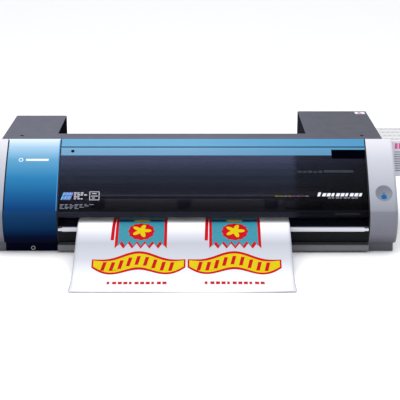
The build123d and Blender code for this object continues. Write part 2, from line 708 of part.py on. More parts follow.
def feed_motor_pulley():
    """The small pulley and shaft of the feed motor."""
    wheel = flanged_pulley_x(FEED_X, FEED_MOTOR_AXIS, FEED_PINION_R, MOTOR_SHAFT_R / 2)
    reach = (FEED_MOTOR_X[1] - FEED_SHAFT_LEN, FEED_X[1] + 1)
    return wheel + rod_x(reach, FEED_MOTOR_AXIS, MOTOR_SHAFT_R)


def feed_belt():
    """The toothless outline of the feed belt round its two pulleys."""
    inner = loop_face(GRIT_AXIS, FEED_R + FREE_GAP, FEED_MOTOR_AXIS, FEED_PINION_R + FREE_GAP)
    outer = loop_face(GRIT_AXIS, FEED_R + FREE_GAP + BELT_T, FEED_MOTOR_AXIS,
                      FEED_PINION_R + FREE_GAP + BELT_T)
    return slab(outer - inner, (FEED_X[0] + PULLEY_SIDE, FEED_X[1] - PULLEY_SIDE))


def feed_motor():
    """The feed motor on the inside of the right plate."""
    y, z = FEED_MOTOR_AXIS
    body = span(FEED_MOTOR_X, (y - MOTOR_HALF, y + MOTOR_HALF), (z - MOTOR_HALF, z + MOTOR_HALF))
    body = chamfer(body.edges().filter_by(Axis.X), MOTOR_CHAMFER)
    bore_x = (FEED_MOTOR_X[1] - FEED_SHAFT_LEN - 1, FEED_MOTOR_X[1] + 1)
    return body - rod_x(bore_x, FEED_MOTOR_AXIS, MOTOR_SHAFT_R + RUN_GAP)


def pinch_arm(x):
    """A forked pinch arm with its roller pin."""
    half = PINCH_HALF + FREE_GAP
    reach = (x - half - ARM_SIDE, x + half + ARM_SIDE)
    arm = slab(loop_face(PINCH_PIVOT, ARM_ENDS[0], PINCH_AXIS, ARM_ENDS[1]), reach)
    arm -= span((x - half, x + half), (PINCH_AXIS[0] - FORK_ROOM[0], PINCH_AXIS[0] + FORK_ROOM[1]),
                FORK_Z)
    arm -= rod_x((reach[0] - 1, reach[1] + 1), PINCH_PIVOT, PINCH_SHAFT_R + RUN_GAP)
    return arm + rod_x(reach, PINCH_AXIS, PINCH_PIN_R)


def pinch_arms():
    """The three pinch arms."""
    return group([pinch_arm(x) for x in PINCH_XS])


def pinch_rollers():
    """The three rubber pinch rollers."""
    rollers = []
    for x in PINCH_XS:
        reach = (x - PINCH_HALF, x + PINCH_HALF)
        rollers.append(rod_x(reach, PINCH_AXIS, PINCH_R)
                       - rod_x(reach, PINCH_AXIS, PINCH_PIN_R + RUN_GAP))
    return group(rollers)


def pinch_shaft():
    """The shaft that the loading lever turns and the pinch arms sit on."""
    return rod_x((LEVER_X[0], BAY_X[0] + 3), PINCH_PIVOT, PINCH_SHAFT_R)


def loading_lever():
    """The loading lever, with its hub and its grip."""
    lever = slab(loop_face(PINCH_PIVOT, LEVER_RADII[0], LEVER_END, LEVER_RADII[1]), LEVER_X)
    grip = rod_x((LEVER_X[0], LEVER_X[1] + 4), (LEVER_END[0] + 1, LEVER_END[1]), GRIP_R)
    return lever + grip - rod_x((LEVER_X[0] - 1, LEVER_X[1] + 1), PINCH_PIVOT, PINCH_SHAFT_R)


# ---------------------------------------------------------------- carriage drive
def guide_beam():
    """Steel channel between the side plates, with the idler's pin."""
    x = (PLATE_L[1], PLATE_R[0])
    beam = span(x, BEAM_Y, BEAM_Z)
    beam -= span((x[0] - 1, x[1] + 1), (BEAM_Y[0] + BEAM_T, BEAM_Y[1] + 1),
                 (BEAM_Z[0] + BEAM_T, BEAM_Z[1] - BEAM_T))
    beam -= rod_y((BEAM_Y[0] - 1, BEAM_Y[0] + OVER), (DRIVE_X, BELT_AXIS_Z), SHAFT_HOLE_R)
    return beam + rod_y((BELT_Y[0] - BEAM_T, BEAM_Y[0] + 1), (IDLER_X, BELT_AXIS_Z), IDLER_PIN_R)


def linear_rail():
    """Hardened rail on the front of the beam."""
    x = (PLATE_L[1] + 2, PLATE_R[0] - 2)
    rail = span(x, RAIL_Y, RAIL_Z)
    inset, depth = RAIL_GROOVE
    for z in RAIL_Z:
        rail -= span((x[0] - 1, x[1] + 1), (RAIL_Y[0] + inset, RAIL_Y[1] - inset),
                     (z - depth, z + depth))
    return rail


def carriage_motor():
    """The carriage motor behind the beam's left end."""
    y = (BEAM_Y[1], BEAM_Y[1] + MOTOR_LEN)
    body = span((DRIVE_X - MOTOR_HALF, DRIVE_X + MOTOR_HALF), y,
                (BELT_AXIS_Z - MOTOR_HALF, BELT_AXIS_Z + MOTOR_HALF))
    body = chamfer(body.edges().filter_by(Axis.Y), MOTOR_CHAMFER)
    return body - rod_y((y[0] - 1, y[0] + 14), (DRIVE_X, BELT_AXIS_Z), MOTOR_SHAFT_R + RUN_GAP)


def flanged_pulley_y(x):
    """A belt pulley on a Y axis at x, without its bore."""
    axis = (x, BELT_AXIS_Z)
    low, high = BELT_Y[0] - PULLEY_SIDE, BELT_Y[1] + PULLEY_SIDE
    wheel = rod_y((low, high), axis, PULLEY_R)
    wheel += rod_y((low, low + FLANGE_T[1]), axis, PULLEY_R + FLANGE_H)
    return wheel + rod_y((high - FLANGE_T[1], high), axis, PULLEY_R + FLANGE_H)


def drive_pulley():
    """The drive pulley with the motor's shaft."""
    return flanged_pulley_y(DRIVE_X) + rod_y((BELT_Y[0] - 2, BEAM_Y[1] + 13),
                                             (DRIVE_X, BELT_AXIS_Z), MOTOR_SHAFT_R)


def idler_pulley():
    """The idler pulley on the beam's pin."""
    bore = rod_y((BELT_Y[0] - OVER, BELT_Y[1] + OVER), (IDLER_X, BELT_AXIS_Z),
                 IDLER_PIN_R + RUN_GAP)
    return flanged_pulley_y(IDLER_X) - bore


def carriage_belt():
    """The flat outline of the carriage belt."""
    a, b = (DRIVE_X, BELT_AXIS_Z), (IDLER_X, BELT_AXIS_Z)
    r = PULLEY_R + FREE_GAP
    loop = loop_face(a, r + BELT_T, b, r + BELT_T) - loop_face(a, r, b, r)
    return slab_y(loop, BELT_Y)


def carriage_body():
    """The carriage: rides on the rail, holds the head and the blade, and clips to the belt."""
    body = span(CARRIAGE_X, CARRIAGE_Y, CARRIAGE_Z)
    front_top = body.edges().filter_by(Axis.X).group_by(Axis.Y)[0].sort_by(Axis.Z)[-1]
    body = chamfer(front_top, CARRIAGE_CHAMFER)
    body -= span((CARRIAGE_X[0] - 1, CARRIAGE_X[1] + 1),
                 (RAIL_Y[0] - FREE_GAP, CARRIAGE_Y[1] + OVER),
                 (RAIL_Z[0] - FREE_GAP, RAIL_Z[1] + FREE_GAP))
    body -= rod_z((CARRIAGE_Z[0] - OVER, CARRIAGE_Z[1] + OVER), TOOL_XY, TOOL_R + FREE_GAP)
    mid = (CARRIAGE_X[0] + CARRIAGE_X[1]) / 2
    half, drop = BELT_CLAMP
    return body + span((mid - half, mid + half), BELT_Y, (CARRIAGE_Z[1] - 1, BELT_AXIS_Z - drop))


def print_head():
    """The print head under the carriage."""
    return chamfer(span(*PRINT_HEAD).edges().group_by(Axis.Z)[0], EDGE)


def blade_holder():
    """Round blade holder with its cap and its blade tip."""
    stem = rod_z(TOOL_STEM_Z, TOOL_XY, TOOL_R)
    cap = rod_z(TOOL_CAP_Z, TOOL_XY, TOOL_CAP_R)
    return stem + cap + Pos(*TOOL_XY, TIP_Z) * Cone(*TIP_R, TIP_H)


def maintenance_station():
    """Capping and wiping station under the parked head."""
    body = chamfer(span(*STATION).edges().group_by(Axis.Z)[-1], 2 * EDGE)
    return body + span(*CAP_OUTER) - span(*CAP_INNER) + span(*WIPER)


# ---------------------------------------------------------------- ink
def cartridge_y(i):
    """The middle of cartridge i along Y, front one first."""
    return CARTRIDGE_Y0 + i * CARTRIDGE_PITCH


def ink_cartridge(i):
    """A cartridge: a slim body in the bay and a taller head outside."""
    y = cartridge_y(i)
    body = span(CARTRIDGE_X, (y - CARTRIDGE_HALF, y + CARTRIDGE_HALF), CARTRIDGE_Z)
    head = span(HEAD_X, (y - HEAD_HALF, y + HEAD_HALF), HEAD_Z)
    head = fillet(head.edges().filter_by(Axis.X), HEAD_ROUND)
    return body + head


def ink_bay():
    """The cartridge holder: floor, dividers, back wall and legs."""
    bay = span(BAY_X, BAY_Y, BAY_FLOOR_Z)
    bay += span((BAY_X[0], BAY_X[0] + BAY_WALL), BAY_Y, (FLOOR_Z, BAY_BACK_Z))
    bay += span((BAY_X[1] - BAY_WALL, BAY_X[1]), BAY_Y, (FLOOR_Z, BAY_FLOOR_Z[1]))
    middles = [cartridge_y(i) + CARTRIDGE_PITCH / 2 for i in range(CARTRIDGES - 1)]
    walls = [(y - DIVIDER_HALF, y + DIVIDER_HALF) for y in middles]
    walls += [(BAY_Y[0], BAY_Y[0] + BAY_FRONT_T), (BAY_Y[1] - BAY_WALL, BAY_Y[1])]
    for wall in walls:
        bay += span(BAY_X, wall, (BAY_FLOOR_Z[0], DIVIDER_Z))
    return bay - rod_x((BAY_X[0] - OVER, BAY_X[0] + BAY_WALL + 1), PINCH_PIVOT,
                       PINCH_SHAFT_R + RUN_GAP)


# ---------------------------------------------------------------- roll bay
def roll_bracket(x):
    """A steel bracket that carries both roll shafts."""
    bracket = slab(outline(*BRACKET_FACE), x)
    for axis in ROLL_AXES:
        bracket -= rod_x((x[0] - OVER, x[1] + OVER), axis, JOURNAL_R + RUN_GAP)
    return bracket


def roll_brackets():
    """Two brackets, left and right of the roll bay."""
    return group([roll_bracket(BRACKET_L), roll_bracket(BRACKET_R)])


def roll_shaft(axis):
    """A roll shaft with its journals."""
    body = rod_x((BRACKET_L[1] + FREE_GAP, BRACKET_R[0] - FREE_GAP), axis, ROLL_R)
    return body + rod_x((BRACKET_L[0], BRACKET_R[1]), axis, JOURNAL_R)


# ---------------------------------------------------------------- electrics
def inlet_module():
    """Appliance inlet and switch frame in one moulding, with the inlet's three blades."""
    y = BOX_R_BACK
    body = span(INLET_MODULE_X, [y + reach for reach in INLET_FRAME_Y],
                (INLET_Z - INLET_HALF_Z, INLET_Z + INLET_HALF_Z))
    for x, (half_x, depth, half_z) in ((INLET_X, INLET_POCKET), (SWITCH_X, SWITCH_POCKET)):
        body -= span((x - half_x, x + half_x), (y - depth, y + OVER),
                     (INLET_Z - half_z, INLET_Z + half_z))
    half_x, half_z = BLADE_HALF
    for dx, dz in BLADES:
        body += span((INLET_X + dx - half_x, INLET_X + dx + half_x),
                     [y + reach for reach in BLADE_Y],
                     (INLET_Z + dz - half_z, INLET_Z + dz + half_z))
    seats = (SWITCH_X - TRUNNION_X - FREE_GAP, SWITCH_X + TRUNNION_X + FREE_GAP)
    return body - rod_x(seats, (y - ROCKER_BACK, INLET_Z), TRUNNION_R + RUN_GAP)


def switch_rocker():
    """The rocker, which rocks on two trunnions along X."""
    y = BOX_R_BACK - ROCKER_BACK
    half_x, half_z = ROCKER_HALF
    keel, waist, tips = (y + reach for reach in ROCKER_Y)
    wedge = outline((keel, INLET_Z), (tips, INLET_Z - half_z), (waist, INLET_Z),
                    (tips, INLET_Z + half_z))
    blade = slab(wedge, (SWITCH_X - half_x, SWITCH_X + half_x))
    blade = Pos(0, y, INLET_Z) * Rot(ROCKER_TILT, 0, 0) * Pos(0, -y, -INLET_Z) * blade
    for x in ((SWITCH_X - TRUNNION_X, SWITCH_X - half_x + LAP),
              (SWITCH_X + half_x - LAP, SWITCH_X + TRUNNION_X)):
        blade += rod_x(x, (y, INLET_Z), TRUNNION_R)
    return blade


def main_board():
    """Control board on four standoffs, with its larger chips and the data socket at its back."""
    x, y, z = BOARD
    board = span(x, y, z)
    for sx in (x[0] + STANDOFF_INSET, x[1] - STANDOFF_INSET):
        for sy in (y[0] + STANDOFF_INSET, y[1] - STANDOFF_INSET):
            board += rod_z((FLOOR_Z, z[0] + LAP), (sx, sy), STANDOFF_R)
    for cx, cy, size, high in CHIPS:
        board += span((cx - size / 2, cx + size / 2), (cy - size / 2, cy + size / 2),
                      (z[1] - LAP, z[1] + high))
    socket = span((USB_X - USB_HALF, USB_X + USB_HALF), (BOX_L_BACK - 19, BOX_L_BACK + 0.8), USB_Z)
    mouth_half = USB_HALF - USB_WALL
    mouth = span((USB_X - mouth_half, USB_X + mouth_half), (BOX_L_BACK - 10, BOX_L_BACK + OVER),
                 (USB_Z[0] + USB_WALL, USB_Z[1] - USB_WALL))
    return board + socket - mouth


def power_supply():
    """Boxed power supply in the right box."""
    return chamfer(span(*SUPPLY).edges().group_by(Axis.Z)[-1], EDGE)


PIECES = {
    "base_pan": base_pan,
    "feet": feet,
    "left_end_cap": left_end_cap,
    "left_partition": left_partition,
    "left_front_panel": left_front_panel,
    "right_pillar": right_pillar,
    "button_dish": button_dish,
    "power_button": power_button,
    "left_rear_box": left_rear_box,
    "right_rear_box": right_rear_box,
    "top_cover": top_cover,
    "upper_band": upper_band,
    "cover_screws": cover_screws,
    "cover_window": cover_window,
    "cover_band": cover_band,
    "cover_stiffener": cover_stiffener,
    "sensor_window": sensor_window,
    "cover_screw": cover_screw,
    "cover_hinge_pins": cover_hinge_pins,
    "front_apron": front_apron,
    "apron_bar": apron_bar,
    "lower_fascia": lower_fascia,
    "bottom_strip": bottom_strip,
    "platen": platen,
    "cutting_strip": cutting_strip,
    "media_sheet": media_sheet,
    "grit_roller": grit_roller,
    "roller_bushes": roller_bushes,
    "feed_pulley": feed_pulley,
    "feed_motor_pulley": feed_motor_pulley,
    "feed_belt": feed_belt,
    "feed_motor": feed_motor,
    "pinch_arms": pinch_arms,
    "pinch_rollers": pinch_rollers,
    "pinch_shaft": pinch_shaft,
    "loading_lever": loading_lever,
    "guide_beam": guide_beam,
    "linear_rail": linear_rail,
    "carriage_motor": carriage_motor,
    "drive_pulley": drive_pulley,
    "idler_pulley": idler_pulley,
    "carriage_belt": carriage_belt,
    "carriage_body": carriage_body,
    "print_head": print_head,
    "blade_holder": blade_holder,
    "maintenance_station": maintenance_station,
    "ink_bay": ink_bay,
    "roll_brackets": roll_brackets,
    "inlet_module": inlet_module,
    "switch_rocker": switch_rocker,
    "main_board": main_board,
    "power_supply": power_supply,
}


def main():
    """Builds every piece and writes it to parts/."""
    os.makedirs("parts", exist_ok=True)
    pieces = {name: make() for name, make in PIECES.items()}
    pieces["left_side_plate"] = side_plate(PLATE_L, -1)
    pieces["right_side_plate"] = side_plate(PLATE_R, 1)
    for i in range(CARTRIDGES):
        pieces[f"ink_cartridge_{i + 1}"] = ink_cartridge(i)
    pieces["roll_shaft_front"] = roll_shaft(ROLL_AXES[0])
    pieces["roll_shaft_rear"] = roll_shaft(ROLL_AXES[1])
    for name, shape in pieces.items():
        export_step(shape.moved(Location(SHIFT)), os.path.join("parts", name + ".step"))
    print(len(pieces), "pieces")


main()
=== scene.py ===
import json
import math

import bpy
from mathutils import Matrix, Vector


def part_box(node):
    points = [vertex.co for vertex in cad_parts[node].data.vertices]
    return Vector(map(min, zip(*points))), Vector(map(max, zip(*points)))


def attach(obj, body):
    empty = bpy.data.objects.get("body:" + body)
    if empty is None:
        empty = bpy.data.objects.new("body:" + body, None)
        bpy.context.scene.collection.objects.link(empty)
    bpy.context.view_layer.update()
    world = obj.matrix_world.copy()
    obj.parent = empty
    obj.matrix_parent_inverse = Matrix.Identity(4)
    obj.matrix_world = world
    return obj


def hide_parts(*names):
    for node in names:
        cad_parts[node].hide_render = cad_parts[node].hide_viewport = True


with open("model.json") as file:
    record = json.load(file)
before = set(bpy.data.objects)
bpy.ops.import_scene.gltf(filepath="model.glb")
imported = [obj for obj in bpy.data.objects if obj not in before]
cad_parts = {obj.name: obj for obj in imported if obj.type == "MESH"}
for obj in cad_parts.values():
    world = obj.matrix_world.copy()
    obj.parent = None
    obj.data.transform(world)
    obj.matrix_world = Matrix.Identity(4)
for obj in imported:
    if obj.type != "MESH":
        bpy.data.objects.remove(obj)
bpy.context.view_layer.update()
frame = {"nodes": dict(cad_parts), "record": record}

MM = 0.001
BODY_Z = (0.0, 0.255)                    # the painted covers' height, m
BODY_X = (-0.53, 0.53)                   # width that a fade along X covers, m
WINDOW_Z = (0.095, 0.225)
MEDIA_Z = (0.0, 0.085)
SHIFT = Vector((-29.5, 138.75, 0.0))     # part.py's move to the shared origin, mm


# ---------------------------------------------------------------- colour and materials
def srgb(r, g, b):
    """Linear colour from 0-255 display values."""
    def one(c):
        c /= 255.0
        return c / 12.92 if c <= 0.04045 else ((c + 0.055) / 1.055) ** 2.4
    return [one(c) for c in (r, g, b)] + [1.0]


def tint(color, k):
    return [min(1.0, c * k) for c in color[:3]] + [1.0]


def blank(name):
    m = bpy.data.materials.new(name)
    m.use_nodes = True
    nt = m.node_tree
    return m, nt, nt.nodes["Principled BSDF"]


def noise(nt, scale, detail=4.0, stretch=(1, 1, 1)):
    """A noise value over the object's own coordinates."""
    coord = nt.nodes.new("ShaderNodeTexCoord")
    mapping = nt.nodes.new("ShaderNodeMapping")
    mapping.inputs["Scale"].default_value = stretch
    tex = nt.nodes.new("ShaderNodeTexNoise")
    tex.inputs["Scale"].default_value = scale
    tex.inputs["Detail"].default_value = detail
    nt.links.new(coord.outputs["Object"], mapping.inputs["Vector"])
    nt.links.new(mapping.outputs["Vector"], tex.inputs["Vector"])
    return tex.outputs["Fac"]


def ramp(nt, value, stops):
    node = nt.nodes.new("ShaderNodeValToRGB")
    while len(node.color_ramp.elements) < len(stops):
        node.color_ramp.elements.new(0.5)
    for element, (at, color) in zip(node.color_ramp.elements, stops):
        element.position = at
        element.color = color
    nt.links.new(value, node.inputs["Fac"])
    return node.outputs["Color"]


def spread(nt, value, low, high):
    node = nt.nodes.new("ShaderNodeMapRange")
    node.inputs["To Min"].default_value = low
    node.inputs["To Max"].default_value = high
    nt.links.new(value, node.inputs["Value"])
    return node.outputs["Result"]


def bump(nt, bsdf, value, strength, depth):
    node = nt.nodes.new("ShaderNodeBump")
    node.inputs["Strength"].default_value = strength
    node.inputs["Distance"].default_value = depth
    nt.links.new(value, node.inputs["Height"])
    nt.links.new(node.outputs["Normal"], bsdf.inputs["Normal"])


def finish_coat(bsdf, metallic, coat, coat_rough, spec):
    bsdf.inputs["Metallic"].default_value = metallic
    bsdf.inputs["Coat Weight"].default_value = coat
    bsdf.inputs["Coat Roughness"].default_value = coat_rough
    bsdf.inputs["Specular IOR Level"].default_value = spec


def surface(name, color, rough=0.4, vary=0.06, scale=25.0, grain=1600.0, grit=0.15,
            metallic=0.0, coat=0.0, coat_rough=0.06, spec=0.5, stretch=(1, 1, 1)):
    """Moulded or metal surface: slow colour drift, roughness drift and a fine grain."""
    m, nt, bsdf = blank(name)
    slow = noise(nt, scale, 3.0, stretch)
    nt.links.new(ramp(nt, slow, [(0.3, tint(color, 1 - vary)), (0.7, tint(color, 1 + vary))]),
                 bsdf.inputs["Base Color"])
    nt.links.new(spread(nt, slow, rough * 0.85, rough * 1.15), bsdf.inputs["Roughness"])
    bump(nt, bsdf, noise(nt, grain, 2.0, stretch), grit, 0.0002)
    finish_coat(bsdf, metallic, coat, coat_rough, spec)
    return m


def times(nt, a, b):
    """Two colours multiplied."""
    mix = nt.nodes.new("ShaderNodeMixRGB")
    mix.blend_type = "MULTIPLY"
    mix.inputs["Fac"].default_value = 1.0
    nt.links.new(a, mix.inputs["Color1"])
    nt.links.new(b, mix.inputs["Color2"])
    return mix.outputs["Color"]


def level(nt, axis, limits):
    """The object's own coordinate on one axis, as 0 to 1 between two limits in metres."""
    coord = nt.nodes.new("ShaderNodeTexCoord")
    split = nt.nodes.new("ShaderNodeSeparateXYZ")
    nt.links.new(coord.outputs["Object"], split.inputs["Vector"])
    node = nt.nodes.new("ShaderNodeMapRange")
    node.inputs["From Min"].default_value, node.inputs["From Max"].default_value = limits
    nt.links.new(split.outputs[axis], node.inputs["Value"])
    return node.outputs["Result"]


def grey(v):
    return [v, v, v, 1.0]


def height_blend(name, stops, z_range, rough=0.3, coat=0.6, coat_rough=0.05,
                 spec=0.5, flake=0.04, across=None, bands=0.0, alpha=1.0):
    """Colour that fades with height and paints light and shade into the surface, with a fine flake; across
    adds a fade along X.
    """
    m, nt, bsdf = blank(name)
    colour_and_shade = ramp(nt, level(nt, "Z", z_range), stops)
    fleck = ramp(nt, noise(nt, 2600.0, 2.0), [(0.35, grey(1 - flake)), (0.65, grey(1.0))])
    colour_and_shade = times(nt, colour_and_shade, fleck)
    if across:
        colour_and_shade = times(nt, colour_and_shade, ramp(nt, level(nt, "X", BODY_X), across))
    if bands:
        stripe = noise(nt, 1.0, 2.0, (0.5, 20, 75))
        colour_and_shade = times(nt, colour_and_shade, ramp(nt, stripe, [(0.38, grey(1 - bands)), (0.62, grey(1.0))]))
    nt.links.new(colour_and_shade, bsdf.inputs["Base Color"])
    bsdf.inputs["Alpha"].default_value = alpha
    nt.links.new(spread(nt, noise(nt, 30.0), rough * 0.85, rough * 1.15), bsdf.inputs["Roughness"])
    bump(nt, bsdf, noise(nt, 900.0, 2.0), 0.04, 0.0001)
    finish_coat(bsdf, 0.0, coat, coat_rough, spec)
    return m


# The blue panel's stops paint light and shade into its blue: near black at the bottom, rising to a
# near-white painted highlight at the top.
BLUE_STOPS = [(0.0, srgb(0, 1, 20)), (0.10, srgb(0, 2, 24)), (0.17, srgb(0, 12, 42)),
              (0.27, srgb(6, 42, 78)), (0.42, srgb(18, 56, 96)), (0.44, srgb(11, 54, 104)),
              (0.56, srgb(20, 82, 132)), (0.70, srgb(38, 112, 158)), (0.84, srgb(84, 144, 180)),
              (0.94, srgb(150, 182, 206)), (1.0, srgb(202, 216, 226))]
# The silver cover's stops paint light and shade into its colour: painted shade towards the bottom, lighter
# towards the top.
SILVER_STOPS = [(0.0, srgb(70, 71, 80)), (0.10, srgb(76, 76, 86)), (0.20, srgb(104, 105, 117)),
                (0.42, srgb(116, 118, 130)), (0.44, srgb(129, 132, 143)), (0.62, srgb(152, 155, 166)),
                (0.85, srgb(176, 178, 187)), (1.0, srgb(202, 201, 209))]
# The window's stops are painted reflection: lighter towards the top, darker towards the bottom. Its across
# darkens it towards the right, where that painted reflection ends, and bands adds darker horizontal bands.
WINDOW_STOPS = [(0.0, srgb(31, 33, 44)), (0.11, srgb(32, 34, 46)), (0.13, srgb(9, 9, 14)),
                (0.30, srgb(15, 15, 26)), (0.55, srgb(28, 31, 46)), (0.75, srgb(39, 45, 62)),
                (1.0, srgb(62, 67, 94))]
MATS = {
    "pan_steel": surface("pan_steel", srgb(120, 122, 128), 0.35, metallic=0.6),
    "foot_rubber": surface("foot_rubber", srgb(28, 28, 30), 0.8, grit=0.5),
    "silver_cover": height_blend("silver_cover", SILVER_STOPS, BODY_Z, rough=0.38, coat=0.15,
                                 coat_rough=0.2, spec=0.3, flake=0.07),
    "black_plastic": surface("black_plastic", srgb(13, 12, 16), 0.45, grit=0.25, spec=0.1),
    "blue_panel": height_blend("blue_panel", BLUE_STOPS, BODY_Z, rough=0.2, coat=0.0, spec=0.02),
    "dish_plastic": surface("dish_plastic", srgb(112, 115, 127), 0.35, vary=0.04, spec=0.25),
    "blue_button": surface("blue_button", srgb(2, 90, 150), 0.2, vary=0.12, scale=160.0, spec=0.03),
    # grey_cover: painted shade, darker towards the bottom; across also darkens it towards the right.
    "grey_cover": height_blend("grey_cover", [(0.0, srgb(54, 56, 66)), (1.0, srgb(76, 78, 94))],
                               BODY_Z, rough=0.5, coat=0.0, spec=0.15, flake=0.10,
                               across=[(0.0, grey(1.0)), (0.5, grey(0.98)), (0.8, grey(0.62)),
                                       (1.0, grey(0.62))]),
    "blue_band": height_blend("blue_band", [(0.0, srgb(72, 120, 156)), (0.90, srgb(92, 138, 170)),
                                            (0.925, srgb(100, 142, 172)), (0.935, srgb(88, 144, 178)),
                                            (1.0, srgb(84, 144, 180))],
                              BODY_Z, rough=0.22, coat=0.0, spec=0.12, flake=0.03,
                              across=[(0.0, grey(1.0)), (0.45, grey(1.0)), (0.70, [0.66, 0.84, 0.90, 1]),
                                      (0.88, [0.46, 0.74, 0.84, 1])]),
    "dark_screw": surface("dark_screw", srgb(7, 7, 9), 0.5, spec=0.0),
    "shaft_steel": surface("shaft_steel", srgb(190, 192, 196), 0.22, metallic=1.0, stretch=(0.05, 1, 1)),
    "apron_gloss": surface("apron_gloss", srgb(15, 15, 27), 0.18, spec=0.35),
    "silver_bar": surface("silver_bar", srgb(202, 202, 212), 0.30, vary=0.03, stretch=(0.05, 1, 1)),
    "strip_grey": surface("strip_grey", srgb(92, 92, 98), 0.45, vary=0.05),
    "platen_steel": surface("platen_steel", srgb(44, 45, 52), 0.35, metallic=0.3),
    "cutting_strip": surface("cutting_strip", srgb(225, 222, 212), 0.5, scale=200.0),
    # The sheet is white; its stops paint light and shade into it: painted shade on the middle of its slope,
    # a painted highlight near the top where it bends.
    "media": height_blend("media", [(0.0, srgb(232, 232, 237)), (0.12, srgb(214, 215, 221)),
                                    (0.35, srgb(182, 185, 194)), (0.62, srgb(170, 173, 183)),
                                    (0.76, srgb(196, 198, 207)), (0.88, srgb(222, 223, 229)),
                                    (0.95, srgb(240, 241, 246)), (1.0, srgb(250, 251, 253))],
                          MEDIA_Z, rough=0.33, coat=0.1, spec=0.25, flake=0.015),
    "bush_brass": surface("bush_brass", srgb(200, 165, 95), 0.3, metallic=1.0),
    "belt_rubber": surface("belt_rubber", srgb(24, 24, 26), 0.7, stretch=(4, 1, 1)),
    "motor_black": surface("motor_black", srgb(34, 34, 38), 0.4, metallic=0.5),
    "plate_steel": surface("plate_steel", srgb(150, 152, 158), 0.35, metallic=0.9, stretch=(1, 0.2, 1)),
    "station_grey": surface("station_grey", srgb(84, 86, 92), 0.5),
    "inlet_black": surface("inlet_black", srgb(20, 20, 22), 0.5, grit=0.3),
    "board_green": surface("board_green", srgb(12, 84, 46), 0.35, vary=0.2, scale=140.0),
    "plate_black": surface("plate_black", srgb(12, 12, 15), 0.4, spec=0.2),
    # smoked_window: painted reflection, fading out towards the right
    "smoked_window": height_blend("smoked_window", WINDOW_STOPS, WINDOW_Z, rough=0.12, coat=0.0,
                                  spec=0.03, flake=0.0, bands=0.25, alpha=0.80,
                                  across=[(0.0, grey(1.0)), (0.700, grey(1.0)), (0.712, grey(0.34)),
                                          (0.9, grey(0.12))]),
    "gloss_black": surface("gloss_black", srgb(2, 2, 7), 0.12, spec=0.0),
    "carriage_black": surface("carriage_black", srgb(30, 30, 35), 0.4, grit=0.3),
    "head_steel": surface("head_steel", srgb(170, 172, 178), 0.3, metallic=1.0),
    "holder_aluminium": surface("holder_aluminium", srgb(196, 198, 204), 0.3, metallic=1.0),
    "grit_steel": surface("grit_steel", srgb(120, 121, 126), 0.5, metallic=0.8, grain=900.0, grit=0.8),
    "arm_steel": surface("arm_steel", srgb(150, 152, 158), 0.35, metallic=0.9),
    "pinch_rubber": surface("pinch_rubber", srgb(44, 44, 46), 0.75, grit=0.5),
    "lever_blue": surface("lever_blue", srgb(30, 96, 160), 0.3, coat=0.3),
    "roll_grey": surface("roll_grey", srgb(104, 106, 112), 0.4, stretch=(0.1, 1, 1)),
    "rocker_black": surface("rocker_black", srgb(24, 24, 26), 0.25),
    "cartridge": surface("cartridge", srgb(200, 201, 207), 0.35, vary=0.03, scale=40.0, grit=0.25, spec=0.3),
}
# Print colours, with the colours that paint light and shade: an edge highlight, shade lines, liners and
# rings, a reflection and glows.
PRINT_AND_PAINTED_LIGHT = {
    "teal": surface("ink_teal", srgb(52, 128, 146), 0.3, vary=0.05, scale=120.0, spec=0.1),
    "red": surface("ink_red", srgb(176, 6, 20), 0.3, vary=0.05, scale=120.0, spec=0.05),
    "yellow": surface("ink_yellow", srgb(196, 176, 6), 0.3, vary=0.05, scale=120.0, spec=0.05),
    "blue": surface("ink_blue", srgb(24, 54, 120), 0.3, vary=0.05, scale=120.0, spec=0.05),
    "pale": surface("ink_pale", srgb(206, 209, 220), 0.3, vary=0.04, scale=300.0),
    "dim": surface("ink_dim", srgb(112, 116, 132), 0.35, vary=0.05, scale=300.0),
    "violet": surface("ink_violet", srgb(112, 100, 186), 0.3, vary=0.25, scale=260.0),
    "magenta": surface("ink_magenta", srgb(206, 60, 132), 0.35, vary=0.06, scale=160.0),
    "cyan": surface("ink_cyan", srgb(50, 160, 214), 0.35, vary=0.06, scale=160.0),
    # edge: a painted highlight along the blue panel's right edge
    "edge": surface("painted_edge_highlight", srgb(44, 128, 196), 0.3, vary=0.05, scale=60.0, spec=0.2),
    "edge_dark": surface("ink_edge_dark", srgb(6, 8, 22), 0.3, vary=0.05, scale=60.0, spec=0.1),
    # print_and_shade: the power icon's print, and painted shade for the window's crease line, the top
    # screws' rings and the left box's inner wall
    "print_and_shade": surface("print_and_painted_shade", srgb(18, 18, 21), 0.6, vary=0.1, scale=60.0, spec=0.0),
    # painted_shade_soft: painted shade on the right box's inner wall
    "painted_shade_soft": surface("painted_shade_soft_grey", srgb(42, 43, 50), 0.6, vary=0.3, scale=12.0, spec=0.0),
    "reflection": surface("ink_reflection", srgb(44, 46, 60), 0.3, vary=0.3, scale=40.0, spec=0.05),
    "amber": surface("ink_amber", srgb(112, 104, 40), 0.4, vary=0.3, scale=60.0, spec=0.05),
    "plum": surface("ink_plum", srgb(112, 60, 92), 0.4, vary=0.3, scale=60.0, spec=0.05),
    "haze": surface("ink_haze", srgb(104, 106, 118), 0.4, vary=0.3, scale=60.0, spec=0.05),
    # edge_shade: painted shade lines along the sheet's edges
    "edge_shade": surface("painted_edge_shade", srgb(150, 152, 160), 0.4, vary=0.04, scale=80.0, spec=0.2),
    "ghost": surface("ink_ghost", srgb(36, 37, 50), 0.4, vary=0.4, scale=90.0, spec=0.1),
    "strip": surface("painted_glow_strip", srgb(206, 209, 220), 0.3, vary=0.04, scale=300.0),
    "black": surface("ink_black", srgb(36, 36, 40), 0.35, vary=0.06, scale=160.0),
}


